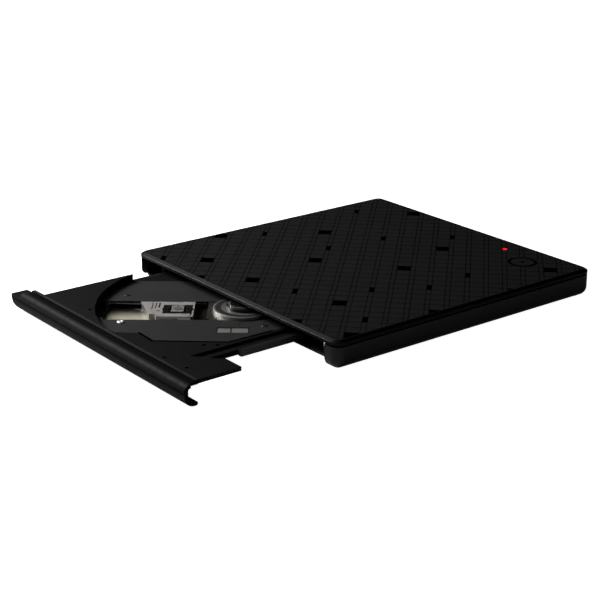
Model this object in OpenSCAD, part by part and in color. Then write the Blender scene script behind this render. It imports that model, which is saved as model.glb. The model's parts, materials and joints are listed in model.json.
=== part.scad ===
// Slim external optical drive with its disc tray drawn partly out.
// +Z is up and the tray comes out towards -Y. The origin is on the table, under the middle of the
// whole object with the tray in this half-open position.
// Pieces of the drive are written where they sit with the tray shut, about the middle of the case;
// in_case(), in_tray() and in_rail() then carry them to their places.

/* [Case] */
// Width of the case, side to side
case_w = 140; // [140:1:146]
// Depth of the case, front to back
case_d = 143; // [143:1:148]
// Height of the case without its feet
shell_h = 12.2; // [12.2:0.1:13]
// Height of the rubber feet
foot_h = 0.8; // [0.6:0.1:1.0]
// Radius of the case corners seen from above, and of the rolled lower edge
corner_r = 4; // [4:0.5:5]
// Thickness of the case walls
wall_t = 1.0; // [0.9:0.1:1.1]

/* [Top cover] */
// Width of the bevel round the top panel
bevel_w = 1.45; // [1.2:0.05:1.6]
// Height of the bevel round the top panel
bevel_h = 0.9; // [0.7:0.1:1.0]
// Height of the upright rim under the bevel
rim_h = 1.2; // [1.0:0.1:1.3]
// Height of the shadow groove between cover and bottom case
groove_h = 0.7; // [0.5:0.1:0.8]
// Depth of the panel recess that carries the pattern
panel_recess = 0.15; // [0.1:0.05:0.2]
// Radius of the eject button
button_r = 5.5; // [5:0.1:5.6]
// Travel of the eject button
button_travel = 0.3; // [0.2:0.05:0.3]

/* [Tray] */
// How far the tray stands open
tray_open = 63.9; // [0:0.1:130]
// Radius of the disc recess
recess_r = 61; // [60.5:0.1:61.2]
// Height of the tray's top above the table
tray_top = 9.3; // [9.2:0.1:9.4]
// Height of the recess floor above the table
deck_z = 6.2; // [6.1:0.05:6.25]
// Depth of the bezel, front to back
bezel_depth = 7.6; // [7:0.1:7.8]

/* [Mechanism] */
// Direction in which the pickup travels outwards, from the disc centre
sled_angle = 231.5; // [228:0.5:234]
// Radius of the turntable
turntable_r = 12.8; // [12:0.1:13]
// Radius of the boss that takes the disc's centre hole
boss_r = 7.4; // [7.3:0.05:7.45]
// Distance of the lens from the disc centre
lens_at = 27.4; // [26.5:0.1:27.5]
// Radius of the main guide rod
rod_r = 0.9; // [0.8:0.05:0.95]

/* [Hidden] */
$fn = 48;
fine = 128;
gap = 0.05;
front_y = -case_d / 2;
top_z = foot_h + shell_h;
rim_z1 = top_z - bevel_h;
rim_z0 = rim_z1 - rim_h;
wall_z1 = rim_z0 - groove_h;
rim_t = 1.2;
cover_under = top_z - 1.4;
floor_t = 1.2;
floor_z = foot_h + floor_t;
floor_front_y = front_y + 6.5;
pillar_x = 62.6;
side_x = -68.9;
sill_x = -66.5;

button_xy = [45.65, 53.9];
led_xy = [28.25, 60.8];
flange_r = button_r + 0.9;
flange_z = 12.0;
strip_z = 11.1;

sheet_t = 0.4;
pan_x0 = -61.2;
pan_x1 = 64;
pan_y0 = -63.8;
pan_y1 = 61;
pan_z = floor_z + sheet_t;
lid_z = 11.0;
port_x0 = 42;
port_x1 = 62.9;
guide_y0 = -63.7;
guide_y1 = 52;
rail_len = 114;
rail_y0 = -62;

tray_x0 = -53.8;
tray_x1 = 33;
ledge_x1 = 37;
block_x1 = 59.7;
block_y1 = -44.6;
tray_y0 = front_y + bezel_depth;
tray_y1 = 60;
land_t = 1.7;
deck_t = 0.8;
tray_bottom = 3.0;
under_t = 0.3;
plate_t = 0.25;
disc_xy = [4.8, -3.4];
bezel_x0 = -61.2;
bezel_x1 = 61.8;
bezel_z0 = 0.3;

frame_z0 = 5.45;
frame_z1 = deck_z - plate_t;
window_y0 = -9.4;
window_y1 = 12.4;
rod_z = 4.7;
main_rod_y = 11.4;
sub_rod_y = -11;
sub_rod_r = 0.75;
screw_y = 23.5;
screw_z = 4.5;
nut_x = 22;
seat_z = 7.4;
sled_top = 5.9;
post_xy = [50.2, -61];
latch_xy = [46.5, -49.5];
latch_arm = 5;
latch_release = 10;
case_screw_xy = [[-64.4, -60], [-64.4, 64.5], [66, 65.2]];
foot_xy = [[-56, -55], [56, -55], [-56, 56], [56, 56]];
deck_screw_xy = [[49.2, 15.4], [-9, 18.5], [50, -16.5], [-12, -17]];
damper_xy = [[56.6, 15.7], [-15.5, 16], [46, -20], [-18, -21]];

module in_case() { translate([0, tray_open / 2, 0]) children(); }
module in_tray() { translate([0, -tray_open / 2, 0]) children(); }
module in_rail() { children(); }
module at_disc() { translate([disc_xy[0], disc_xy[1], 0]) children(); }
// X runs outwards along the pickup's travel, from the disc centre
module on_travel() { at_disc() rotate([0, 0, sled_angle]) children(); }

// A box from its lowest corner to its highest
module block(lo, hi) { translate(lo) cube([hi[0] - lo[0], hi[1] - lo[1], hi[2] - lo[2]]); }
module disc(x, y, z0, z1, r) { translate([x, y, z0]) cylinder(h = z1 - z0, r = r); }
module ring(z0, z1, r0, r1) {
    difference() {
        disc(0, 0, z0, z1, r1);
        disc(0, 0, z0 - 1, z1 + 1, r0);
    }
}
// An upright-sided slab over a flat outline
module slab(z0, z1) { translate([0, 0, z0]) linear_extrude(z1 - z0) children(); }

// Sweeps a profile round a rounded rectangle. The profile's x is the distance from a corner's centre
module rim_sweep(w, d, r) {
    x = w / 2 - r;
    y = d / 2 - r;
    for (c = [[x, y, 0], [-x, y, 90], [-x, -y, 180], [x, -y, 270]])
        translate([c[0], c[1], 0]) rotate([0, 0, c[2]]) rotate_extrude(angle = 90) children();
    for (a = [0, 180]) rotate([0, 0, a])
        translate([x, 0, 0]) rotate([90, 0, 0]) linear_extrude(2 * y, center = true) children();
    for (a = [90, 270]) rotate([0, 0, a])
        translate([y, 0, 0]) rotate([90, 0, 0]) linear_extrude(2 * x, center = true) children();
}
// The middle of such a sweep, between its corner centres
module sweep_middle(w, d, r, z0, z1) {
    block([r - w / 2, r - d / 2, z0], [w / 2 - r, d / 2 - r, z1]);
}
// Outline with a rounded lower outer corner
module rolled_outline(r, z0, z1) {
    intersection() {
        translate([0, z0]) square([r, z1 - z0]);
        union() {
            translate([0, z0 + r]) circle(r);
            translate([0, z0 + r]) square([r, z1 - z0 - r]);
        }
    }
}

// ---- Case ----

module cover_profile() {
    polygon([[0, top_z], [corner_r - bevel_w, top_z], [corner_r, rim_z1], [corner_r, rim_z0],
        [corner_r - rim_t, rim_z0], [corner_r - rim_t, cover_under], [0, cover_under]]);
}

module top_cover() {
    lip_z = 9.4;
    lip_out = corner_r - wall_t - 0.15;
    color("#1b1b1d") in_case() difference() {
        union() {
            rim_sweep(case_w, case_d, corner_r) cover_profile();
            sweep_middle(case_w, case_d, corner_r, cover_under, top_z);
            difference() {
                rim_sweep(case_w, case_d, corner_r)
                    translate([lip_out - 0.8, lip_z]) square([0.8, cover_under - lip_z]);
                block([-case_w, front_y - 1, 0], [case_w, -64.9, top_z + 1]);
            }
            for (p = case_screw_xy) disc(p[0], p[1], 9.3, cover_under, 1.9);
        }
        rim_inset = 0.25;
        panel_w = case_w - 2 * (bevel_w + rim_inset);
        panel_d = case_d - 2 * (bevel_w + rim_inset);
        slab(top_z - panel_recess, top_z + 1) rounded_rect(panel_w, panel_d, corner_r - bevel_w);
        disc(button_xy[0], button_xy[1], cover_under - 1, top_z + 1, button_r + 0.5);
        disc(button_xy[0], button_xy[1], cover_under - 1, flange_z + 0.4, flange_r + 0.25);
        disc(led_xy[0], led_xy[1], cover_under - 1, top_z + 1, 1.0);
        for (p = case_screw_xy) disc(p[0], p[1], 9, 11.9, 0.75);
    }
}
module rounded_rect(w, d, r) {
    square([w - 2 * r, d], center = true);
    square([w, d - 2 * r], center = true);
    for (x = [-1, 1], y = [-1, 1]) translate([x * (w / 2 - r), y * (d / 2 - r)]) circle(r);
}

module bottom_case() {
    post_r = 2.2;
    color("#151516") in_case() difference() {
        union() {
            difference() {
                union() {
                    rim_sweep(case_w, case_d, corner_r) difference() {
                        rolled_outline(corner_r, foot_h, wall_z1);
                        rolled_outline(corner_r - wall_t, floor_z, wall_z1 + 1);
                    }
                    sweep_middle(case_w, case_d, corner_r, foot_h, floor_z);
                }
                block([side_x, front_y - 1, 0], [pillar_x, front_y + corner_r, top_z]);
                block([sill_x, front_y - 1, 0], [pillar_x, floor_front_y, top_z]);
            }
            corner_pillar();
            for (p = case_screw_xy) disc(p[0], p[1], floor_z - 0.1, 9.25, post_r);
        }
        for (p = case_screw_xy) {
            disc(p[0], p[1], 0, wall_z1, 1.0);
            disc(p[0], p[1], 0, foot_h + 1.0, 1.7);
        }
        translate([24.5, case_d / 2, 5.65]) rotate([90, 0, 0]) linear_extrude(6, center = true)
            usb_outline(9.5, 3.7);
    }
}
// The solid front corner that the bezel closes against. On the other side the wall stays thin
module corner_pillar() {
    x = case_w / 2 - corner_r;
    y = case_d / 2 - corner_r;
    translate([x, -y, 0]) rotate([0, 0, 270]) rotate_extrude(angle = 90)
        rolled_outline(corner_r, foot_h, wall_z1);
    translate([(x + pillar_x) / 2, -y, 0]) rotate([90, 0, -90])
        linear_extrude(x - pillar_x, center = true) rolled_outline(corner_r, foot_h, wall_z1);
}

module case_screws() {
    color("silver") in_case() for (p = case_screw_xy) {
        disc(p[0], p[1], foot_h + 0.15, foot_h + 1.0, 1.5);
        disc(p[0], p[1], foot_h + 1.0, 11.6, 0.7);
    }
}

module rubber_feet() {
    color("#0c0c0c") in_case() for (p = foot_xy) disc(p[0], p[1], 0, foot_h, 4);
}

// ---- Eject button and light ----

module eject_button() {
    color("#1b1b1d") in_case() {
        disc(button_xy[0], button_xy[1], flange_z, flange_z + 0.35, flange_r);
        disc(button_xy[0], button_xy[1], flange_z + 0.35, top_z - 0.05, button_r);
    }
}

module switch_plunger() {
    color("gold") in_case()
        disc(button_xy[0], button_xy[1], flange_z - button_travel - 0.05, flange_z, 1.2);
}

module eject_switch() {
    color("silver") in_case() translate([button_xy[0], button_xy[1], 0])
        ring(strip_z + 0.2, flange_z - button_travel - 0.05, 1.3, 2.2);
}

module button_strip() {
    color("peru") in_case() union() {
        block([led_xy[0] - 2, button_xy[1] - 3, strip_z], [button_xy[0] + 3, led_xy[1] + 2, strip_z + 0.2]);
    }
}

module status_led() {
    color("red") in_case() block([led_xy[0] - 0.8, led_xy[1] - 0.5, strip_z + 0.2],
        [led_xy[0] + 0.8, led_xy[1] + 0.5, strip_z + 0.5]);
}

module light_pipe() {
    color("tomato") in_case() disc(led_xy[0], led_xy[1], cover_under + 0.05, top_z, 0.97);
}

// ---- Steel housing of the mechanism ----

module drive_pan() {
    side_z1 = lid_z - sheet_t - gap;
    color("silver") in_case() difference() {
        block([pan_x0, pan_y0, floor_z], [pan_x1, pan_y1, side_z1]);
        block([pan_x0 + sheet_t, pan_y0 - 1, pan_z], [pan_x1 - sheet_t, pan_y1 - sheet_t, lid_z]);
        block([port_x0, pan_y1 - 1, pan_z], [port_x1, pan_y1 + 1, 7.2]);
        for (p = lid_screw_yz()) side_bore(p, 0.8);
    }
}
function lid_screw_yz() = [for (y = [-48, 46]) [y, 7.5]];
module side_bore(p, r) {
    translate([0, p[0], p[1]]) rotate([0, 90, 0]) cylinder(h = case_w, r = r, center = true);
}

module drive_lid() {
    out = sheet_t + gap;
    color("silver") in_case() difference() {
        block([pan_x0 - out, pan_y0, 5], [pan_x1 + out, pan_y1 + out, lid_z]);
        block([pan_x0 - gap, pan_y0 - 1, 4], [pan_x1 + gap, pan_y1 + gap, lid_z - sheet_t]);
        block([port_x0, pan_y1 - 1, 4], [port_x1, pan_y1 + 1, 7.2]);
        for (p = lid_screw_yz()) side_bore(p, 0.8);
    }
}

module lid_screws() {
    out = sheet_t + gap;
    color("dimgray") in_case() for (p = lid_screw_yz(), s = [-1, 1]) {
        face = s > 0 ? pan_x1 + out : pan_x0 - out;
        translate([face, p[0], p[1]]) rotate([0, s * 90, 0]) {
            cylinder(h = 0.35, r = 1.3);
            translate([0, 0, -1.4]) cylinder(h = 1.4, r = 0.75);
        }
    }
}

// Profile of the fixed guide that the middle rail runs in, with its open side towards -X
module guide_profile() {
    polygon([[-3.3, pan_z], [0, pan_z], [0, 6.1], [-1.6, 6.1], [-1.6, 5.7], [-0.5, 5.7],
        [-0.5, 2.85], [-3.3, 2.85]]);
}
module left_guide() {
    color("gainsboro") in_case() translate([-57.1, 0, 0]) mirror([1, 0, 0]) guide_run();
}
module right_guide() {
    color("gainsboro") in_case() translate([40.1, 0, 0]) guide_run();
}
module guide_run() {
    translate([0, guide_y1, 0]) rotate([90, 0, 0]) linear_extrude(guide_y1 - guide_y0)
        guide_profile();
}

// Middle rail: a bar in the fixed guide, with a tongue that the tray runs on
module rail_profile() {
    translate([-2.6, 2.95]) square([2.0, 2.65]);
    translate([-3.9, 3.8]) square([1.3, 0.9]);
}
module rail_run() {
    translate([0, rail_y0 + rail_len, 0]) rotate([90, 0, 0]) linear_extrude(rail_len)
        rail_profile();
}
module left_rail() {
    color("lightsteelblue") in_rail() translate([-57.1, 0, 0]) mirror([1, 0, 0]) rail_run();
}
module right_rail() {
    color("lightsteelblue") in_rail() translate([40.1, 0, 0]) rail_run();
}

// ---- Tray ----

module tray_outline() {
    translate([tray_x0, tray_y0]) square([tray_x1 - tray_x0, tray_y1 - tray_y0]);
    translate([tray_x1, tray_y0]) square([block_x1 - tray_x1, block_y1 - tray_y0]);
}
module recess_circle(r) { translate(disc_xy) circle(r, $fn = fine); }
// Where the deck plates lie, in the directions of the pickup's travel
module plate_field(grow) {
    intersection() {
        circle(60.3 + grow, $fn = fine);
        union() {
            translate([-20 - grow, -34.8 - grow]) square([90, 34.8 + 2 * grow + window_y1]);
            polygon([[-20 - grow, 0], [62, 0], [62, 17 + grow], [50, 26.5 + grow],
                [40.3 + grow, 27.1 + grow], [34.5 + grow, 35.5 + grow], [4.5, 36.4 + grow],
                [-3.7 - grow, 30.3 + grow], [-20 - grow, 18 + grow]]);
        }
    }
}

module tray() {
    ledge_z1 = 5.2;
    groove_z = [3.7, 4.8];
    color("#202022") in_tray() difference() {
        union() {
            slab(tray_top - land_t, tray_top) difference() {
                tray_outline();
                recess_circle(recess_r);
            }
            slab(deck_z - deck_t, tray_top - land_t) intersection() {
                difference() {
                    recess_circle(recess_r + 1.3);
                    recess_circle(recess_r);
                }
                translate([tray_x0, tray_y0])
                    square([tray_x1 - tray_x0, tray_y1 - tray_y0]);
            }
            slab(deck_z - deck_t, deck_z) translate([tray_x0, tray_y0])
                square([tray_x1 - tray_x0, tray_y1 - tray_y0]);
            block([tray_x0, tray_y0, tray_bottom], [tray_x1, tray_y0 + 1.2, tray_top - land_t]);
            block([tray_x0, tray_y1 - 1.2, tray_bottom], [tray_x1, tray_y1, tray_top - land_t]);
            block([tray_x0, tray_y0, tray_bottom], [tray_x0 + 2.2, tray_y1, deck_z - deck_t]);
            block([tray_x1 - 1.2, tray_y0, tray_bottom], [ledge_x1, tray_y1, ledge_z1]);
            block([tray_x1 - 1.2, tray_y0, ledge_z1], [tray_x1, tray_y1, deck_z]);
        }
        slab(deck_z - deck_t - 1, tray_top - land_t) on_travel_flat() plate_field(0.1);
        slab(tray_bottom - 1, 6.7) on_travel_flat() sled_way();
        block([ledge_x1 - 1.4, tray_y0 - 1, groove_z[0]], [ledge_x1 + 1, tray_y1 + 1, groove_z[1]]);
        block([tray_x0 - 1, tray_y0 - 1, groove_z[0]], [tray_x0 + 1.2, tray_y1 + 1, groove_z[1]]);
        at_disc() for (p = [[22.3, -35.5], [25.6, -31.2], [-50, -17]])
            disc(p[0], p[1], deck_z - deck_t - 1, deck_z + 1, 0.9);
        at_disc() for (p = [[30, -58.7], [43.5, -57.8], [-31.6, -54.5]])
            disc(p[0], p[1], tray_top - 0.6, tray_top + 1, 0.8);
    }
}
// The room that the pickup needs at the outer end of its travel
module sled_way() {
    polygon([[40, -9.4], [74.5, -9.4], [69.9, 5.2], [66.8, 8.4], [66.8, 9.1], [40, 9.1]]);
}
// The pickup's directions, for flat outlines
module on_travel_flat() { translate(disc_xy) rotate(sled_angle) children(); }

// Cross-section of the bezel. X is the depth behind its front face
module bezel_wall() {
    wall = 1.7;
    roll = 4.3;
    top_r = 2.6;
    translate([0, bezel_z0 + roll]) square([wall, tray_top - top_r - bezel_z0 - roll]);
    intersection() {
        translate([0, tray_top - top_r]) square(top_r);
        translate([top_r, tray_top - top_r]) difference() {
            circle(top_r);
            circle(top_r - wall);
        }
    }
    translate([top_r, tray_top - wall]) square([0.3, wall]);
    intersection() {
        translate([0, bezel_z0]) square([roll, roll]);
        translate([roll, bezel_z0 + roll]) difference() {
            circle(roll);
            circle(roll - wall);
        }
    }
    translate([roll, bezel_z0]) square([0.7, wall]);
    translate([roll + 0.7, bezel_z0 + wall / 2]) circle(wall / 2);
}
module bezel_ledge() {
    translate([1.9, tray_top - 1.9]) square([bezel_depth - 1.9, 1.1]);
    translate([bezel_depth - 1.8, tray_top - 1.9]) square([1.8, 1.9]);
}
module bezel_run(x0, x1) {
    translate([(x0 + x1) / 2, front_y, 0]) rotate([90, 0, 90])
        linear_extrude(x1 - x0, center = true) children();
}
// The lower part beyond the steel housing, with its corner rounded to follow the case's rolled edge
module bezel_wing() {
    wing_r = 6.8;
    wing_x0 = -68.6;
    wing_z1 = 7.4;
    intersection() {
        bezel_run(wing_x0, bezel_x0 + 0.5) {
            bezel_wall();
            translate([1.5, wing_z1 - 1.1]) square([bezel_depth - 1.5, 1.1]);
        }
        translate([wing_x0, front_y + bezel_depth + 1, bezel_z0]) rotate([90, 0, 0])
            linear_extrude(bezel_depth + 2) intersection() {
                square([9, wing_z1 - bezel_z0]);
                union() {
                    translate([wing_r, wing_r]) circle(wing_r);
                    translate([wing_r, 0]) square([4, 9]);
                    translate([0, wing_r]) square([9, 2]);
                }
            }
    }
}
module bezel() {
    color("#1a1a1b") in_tray() {
        bezel_run(bezel_x0, bezel_x1) bezel_wall();
        bezel_run(bezel_x0, block_x1) bezel_ledge();
        bezel_wing();
    }
}

module tray_under_cover() {
    color("silver") in_tray() difference() {
        block([tray_x0 + 1, tray_y0 + 0.5, tray_bottom - under_t],
            [tray_x1 + 2, tray_y1 - 0.5, tray_bottom]);
        at_disc() disc(0, 0, 0, tray_bottom + 1, 6);
    }
}

module rear_deck_plate() {
    color("#242426") in_tray() slab(deck_z - plate_t, deck_z) on_travel_flat() difference() {
        intersection() {
            plate_field(0);
            translate([-20, -34.8]) square([90, 34.8 + window_y0]);
        }
        circle(turntable_r + 1.4);
        for (p = deck_screw_xy) translate(p) circle(0.8);
    }
}

module front_deck_plate() {
    color("#242426") in_tray() slab(deck_z - plate_t, deck_z) on_travel_flat() difference() {
        intersection() {
            plate_field(0);
            union() {
                translate([-20, window_y1]) square([90, 40]);
                translate([-20, window_y0 + 0.1]) square([18, 30]);
            }
        }
        circle(turntable_r + 1.4);
        translate([-3, 20.7]) square([12.9, 5.6]);
        for (p = deck_screw_xy) translate(p) circle(0.8);
        for (a = [87, 59]) rotate(a) translate([16.9, 0]) circle(0.7);
    }
}

module deck_screws() {
    color("whitesmoke") in_tray() on_travel() for (p = deck_screw_xy) {
        disc(p[0], p[1], deck_z, deck_z + 0.3, 1.25);
        disc(p[0], p[1], 4.4, deck_z, 0.75);
    }
}

// ---- Traverse: motor, rods and pickup ----

module traverse_frame() {
    bearings = [[13, main_rod_y], [58.2, main_rod_y], [16, sub_rod_y], [57.8, sub_rod_y]];
    color("darkgray") in_tray() on_travel() difference() {
        union() {
            intersection() {
                block([-20, -24, frame_z0], [62, 27, frame_z1]);
                slab(frame_z0, frame_z1) plate_field(0);
            }
            for (p = bearings)
                block([p[0] - 0.8, p[1] - 1.6, 3.3], [p[0] + 0.8, p[1] + 1.6, frame_z1]);
        }
        block([15, window_y0 - 0.5, 3], [63, 9, 7]);
        block([14, 8.9, 3.1], [57.2, 13.6, 7]);
        block([17, -13.2, 3.1], [56.8, -9.3, 7]);
        block([-4, 20.2, 3], [58, 26.6, 7]);
        disc(0, 0, 3, 7, 11.2);
        for (y = [[main_rod_y, rod_r], [sub_rod_y, sub_rod_r]])
            translate([0, y[0], rod_z]) rotate([0, 90, 0]) cylinder(h = 80, r = y[1] + 0.02);
        for (p = deck_screw_xy) disc(p[0], p[1], 3, 7, 0.8);
        for (p = damper_xy) disc(p[0], p[1], 3, 7, 1.5);
    }
}

module rubber_dampers() {
    color("#303030") in_tray() on_travel() for (p = damper_xy) translate([p[0], p[1], 0])
        ring(tray_bottom, frame_z1, 0.8, 1.45);
}

module spindle_motor() {
    color("gray") in_tray() at_disc() {
        ring(tray_bottom, 5.0, 2.1, 10.5);
        ring(5.0, frame_z0, 4, 12.2);
        ring(frame_z0, 5.85, 4, 11);
    }
}

module turntable() {
    color("lightgray") in_tray() at_disc() {
        disc(0, 0, 3.2, 6.0, 2.0);
        disc(0, 0, 6.0, 6.9, turntable_r);
        ring(6.9, 7.2, turntable_r - 1.0, turntable_r);
        ring(6.9, seat_z, boss_r - 0.45, boss_r + 2.1);
    }
}

module turntable_pad() {
    color("#101010") in_tray() at_disc() ring(6.9, seat_z, boss_r + 2.15, turntable_r - 1.05);
}

module disc_clamp() {
    color("#18181a") in_tray() at_disc() difference() {
        rotate_extrude() polygon([[0, 6.9], [boss_r - 0.5, 6.9], [boss_r - 0.5, seat_z + 0.1],
            [boss_r - 0.02, seat_z + 0.1], [boss_r - 0.02, 8.6], [boss_r - 0.9, 9.1],
            [2.4, 9.1], [1.6, 8.6], [0, 8.6]]);
        for (a = [30:120:270]) rotate([0, 0, a]) translate([boss_r - 1.15, 0, 8.5]) sphere(0.85);
    }
}

module clamp_balls() {
    color("white") in_tray() at_disc() for (a = [30:120:270])
        rotate([0, 0, a]) translate([boss_r - 1.15, 0, 8.5]) sphere(0.8);
}

module rod(x0, x1, y, r) {
    translate([x0, y, rod_z]) rotate([0, 90, 0]) cylinder(h = x1 - x0, r = r);
}
module main_guide_rod() {
    color("white") in_tray() on_travel() rod(12.2, 59, main_rod_y, rod_r);
}
module sub_guide_rod() {
    color("white") in_tray() on_travel() rod(15.2, 58.6, sub_rod_y, sub_rod_r);
}

module pickup_outline() {
    polygon([[20.6, -8.9], [43.5, -8.9], [38.9, 5], [36.5, 5.4], [35.7, 8], [20.6, 8.6]]);
}
module lens_well(z0) {
    block([lens_at - 6.05, -4.2, z0], [lens_at + 6.05, 4.2, 8]);
}
module pickup_sled() {
    color("dimgray") in_tray() on_travel() difference() {
        union() {
            slab(3.3, sled_top) pickup_outline();
            block([21.5, 8, 3.6], [26.5, 13, 5.85]);
            block([22, -12.6, 3.8], [25, -8.5, 5.7]);
            block([nut_x - 2, 8, 3.2], [nut_x + 2, 21.8, 3.85]);
        }
        rod(10, 60, main_rod_y, rod_r + gap);
        rod(20, 60, sub_rod_y, sub_rod_r + gap);
        lens_well(4.2);
    }
}

module pickup_cover() {
    color("mistyrose") in_tray() on_travel() difference() {
        slab(sled_top, sled_top + 0.25) pickup_outline();
        lens_well(5);
    }
}

module actuator_magnets() {
    color("#141414") in_tray() on_travel() for (s = [-1, 1])
        block([lens_at + s * 4.5 - 1, -3.2, 4.2], [lens_at + s * 4.5 + 1, 3.2, 6.3]);
}

module pickup_ribbon() {
    color("gray") in_tray() on_travel() block([43.5, -8.4, 5.4], [44.7, -2, 5.6]);
}

module lens_holder() {
    color("#1c1c22") in_tray() on_travel() translate([lens_at, 0, 0]) difference() {
        block([-2.5, -3.7, 4.8], [2.5, 3.7, 6.5]);
        disc(0, 0, 4, 7, 2.0);
    }
}

module objective_lens() {
    color("lightcyan") in_tray() on_travel() disc(lens_at, 0, 5.9, 6.7, 2.0);
}

module sled_nut() {
    color("ivory") in_tray() on_travel() difference() {
        block([nut_x - 2, 21.8, 3.2], [nut_x + 2, 25.2, 5.35]);
        translate([0, screw_y, screw_z]) rotate([0, 90, 0]) cylinder(h = 60, r = 0.76 + gap);
    }
}

module lead_screw() {
    color("white") in_tray() on_travel() translate([10, screw_y, screw_z]) rotate([0, 90, 0])
        cylinder(h = 46, r = 0.76);
}

module sled_motor() {
    color("mistyrose") in_tray() on_travel() translate([-3, screw_y, screw_z]) intersection() {
        rotate([0, 90, 0]) cylinder(h = 12.9, r = 2.8);
        block([-1, -3, -1.45], [20, 3, 1.45]);
    }
}

// ---- Electronics ----

module main_board() {
    color("darkgreen") in_case() block([43, -28, 3.2], [62.8, 59, 4.0]);
}

module board_chips() {
    color("#111111") in_case() {
        block([47, 8, 4.0], [59, 20, 5.2]);
        block([46, 28, 4.0], [54, 34, 5.0]);
        block([48, -18, 4.0], [55, -12, 5.0]);
        for (i = [0:3]) block([57, -20 + 6 * i, 4.0], [60, -17 + 6 * i, 4.8]);
    }
}

// Fixed half of the flat cable that follows the tray
module case_ribbon() {
    color("white") in_case() {
        block([2, -10, pan_z], [14, 58.6, pan_z + 0.08]);
        block([14, 53.5, pan_z], [50, 58.6, pan_z + 0.08]);
    }
}
// Moving half, under the tray
module tray_ribbon() {
    color("white") in_tray() block([2, -30, tray_bottom - under_t - 0.1], [14, 58, tray_bottom - under_t]);
}

module usb_board() {
    color("darkgreen") in_case() block([14, 62, 3.2], [63, 68.6, 4.0]);
}

module usb_outline(w, h) {
    square([w - h, h], center = true);
    for (s = [-1, 1]) translate([s * (w - h) / 2, 0]) circle(h / 2);
}
module usb_socket() {
    color("silver") in_case() translate([24.5, 71.2, 5.65]) rotate([90, 0, 0]) difference() {
        linear_extrude(7.4) usb_outline(8.94, 3.26);
        translate([0, 0, -1]) linear_extrude(7.4) usb_outline(8.34, 2.56);
    }
}

module drive_connector() {
    color("#0d0d0d") in_case() block([44, 55, 4.0], [62.5, 66, 6.8]);
}

// ---- Eject latch ----

module eject_solenoid() {
    color("peru") in_tray() difference() {
        block([40.4, -58.2, 4.9], [43.4, -51, tray_top - land_t]);
        translate([41, latch_xy[1] - latch_arm, 5.7]) rotate([0, 90, 0])
            cylinder(h = 10, r = 0.75);
    }
}

module solenoid_plunger() {
    x = latch_xy[0] - latch_arm * sin(latch_release);
    y = latch_xy[1] - latch_arm;
    color("silver") in_tray() {
        translate([x - 3.9, y, 5.7]) rotate([0, 90, 0]) cylinder(h = 4.9, r = 0.7);
        disc(x, y, 5.7, 7.3, 0.4);
    }
}

// The lever stands turned to its released side, as it does while the tray is open
module latch_lever() {
    hook_y = -9.6;
    color("ivory") in_tray() translate([latch_xy[0], latch_xy[1], 0])
        rotate([0, 0, -latch_release]) difference() {
            union() {
                block([-1.1, hook_y, 6.5], [1.1, 0, 7.4]);
                disc(0, 0, 6.5, 7.4, 1.9);
                block([1.1, hook_y, 5.4], [4.3, hook_y + 1, 7.4]);
            }
            disc(0, 0, 5, 8, 0.95);
            disc(0, -latch_arm, 5, 8, 0.75);
        }
}

module latch_pin() {
    color("silver") in_tray() disc(latch_xy[0], latch_xy[1], 6.3, tray_top - land_t, 0.9);
}

module latch_post() {
    color("silver") in_case() disc(post_xy[0], post_xy[1], pan_z, 6.3, 0.8);
}

top_cover();
bottom_case();
case_screws();
rubber_feet();
eject_button();
switch_plunger();
eject_switch();
button_strip();
status_led();
light_pipe();
drive_pan();
drive_lid();
lid_screws();
left_guide();
right_guide();
left_rail();
right_rail();
tray();
bezel();
tray_under_cover();
rear_deck_plate();
front_deck_plate();
deck_screws();
traverse_frame();
rubber_dampers();
spindle_motor();
turntable();
turntable_pad();
disc_clamp();
clamp_balls();
main_guide_rod();
sub_guide_rod();
pickup_sled();
pickup_cover();
actuator_magnets();
pickup_ribbon();
lens_holder();
objective_lens();
sled_nut();
lead_screw();
sled_motor();
main_board();
board_chips();
case_ribbon();
tray_ribbon();
eject_solenoid();
solenoid_plunger();
latch_lever();
latch_pin();
latch_post();
usb_board();
usb_socket();
drive_connector();
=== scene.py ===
"""Looks of the slim external optical drive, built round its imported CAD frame. Metres throughout."""

import json
import math

import bmesh
import bpy
from mathutils import Matrix, Vector


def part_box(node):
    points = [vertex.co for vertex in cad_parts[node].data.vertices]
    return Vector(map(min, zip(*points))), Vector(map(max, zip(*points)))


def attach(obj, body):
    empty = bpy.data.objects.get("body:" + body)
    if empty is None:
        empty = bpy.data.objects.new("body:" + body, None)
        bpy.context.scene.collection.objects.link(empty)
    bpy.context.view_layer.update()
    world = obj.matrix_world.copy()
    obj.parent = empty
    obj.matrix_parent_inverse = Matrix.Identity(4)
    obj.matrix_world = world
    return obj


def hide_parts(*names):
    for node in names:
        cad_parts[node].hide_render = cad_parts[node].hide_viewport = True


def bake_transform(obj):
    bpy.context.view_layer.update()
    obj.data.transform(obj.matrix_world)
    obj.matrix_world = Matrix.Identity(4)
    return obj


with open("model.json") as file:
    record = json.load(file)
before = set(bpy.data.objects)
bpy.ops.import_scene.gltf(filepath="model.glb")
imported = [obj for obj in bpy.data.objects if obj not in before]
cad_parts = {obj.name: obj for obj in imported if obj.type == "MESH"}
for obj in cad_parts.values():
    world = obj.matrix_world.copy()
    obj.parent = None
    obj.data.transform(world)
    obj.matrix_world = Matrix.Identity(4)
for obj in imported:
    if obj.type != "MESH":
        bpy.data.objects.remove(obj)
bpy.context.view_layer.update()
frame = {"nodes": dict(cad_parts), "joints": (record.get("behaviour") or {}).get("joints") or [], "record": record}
MM = 0.001


# ---- Places taken from the frame ----

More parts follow.
